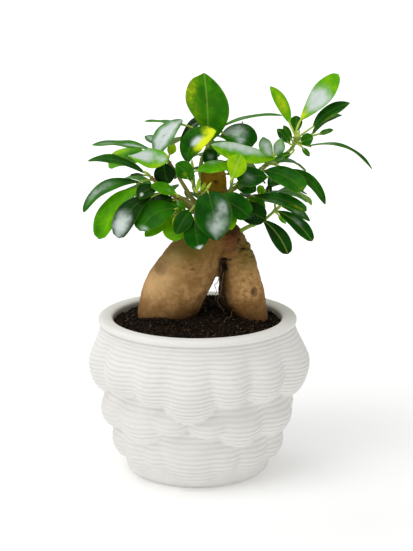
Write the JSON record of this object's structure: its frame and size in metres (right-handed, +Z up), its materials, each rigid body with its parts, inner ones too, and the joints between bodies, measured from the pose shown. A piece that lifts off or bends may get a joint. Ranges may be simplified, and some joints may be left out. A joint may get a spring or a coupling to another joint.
{
  "type": "ficus ginseng bonsai",
  "caption": "Ficus ginseng bonsai with swollen roots, a sawn neck and leafy shoots, in a round white ceramic pot with level ribs and hanging lobes.",
  "frame": {"origin": "centre of the pot's flat base, on the surface it stands on", "axes": "+X to the right and +Y away from the front of the plant as pictured, +Z up the plant"},
  "size_m": [0.1866, 0.1464, 0.267],
  "materials": {
    "ceramic": "matte",
    "soil": "matte",
    "bark": "matte",
    "leaf_bright": "satin",
    "leaf_green": "satin",
    "leaf_dark": "satin"
  },
  "bodies": {
    "root": {"pot": "ceramic", "soil": "soil", "trunk": "bark", "shoot_top": "leaf_green", "shoot_crown": "leaf_bright", "shoot_upper_left": "leaf_green", "shoot_left": "leaf_green", "shoot_lower_left": "leaf_green", "shoot_front": "leaf_dark", "shoot_crown_right": "leaf_bright", "shoot_right_top": "leaf_bright", "shoot_right": "leaf_dark", "shoot_lower_right": "leaf_dark", "shoot_back_left": "leaf_green", "shoot_back": "leaf_green", "shoot_back_right": "leaf_green", "shoot_back_low": "leaf_green"}
  },
  "joints": []
}
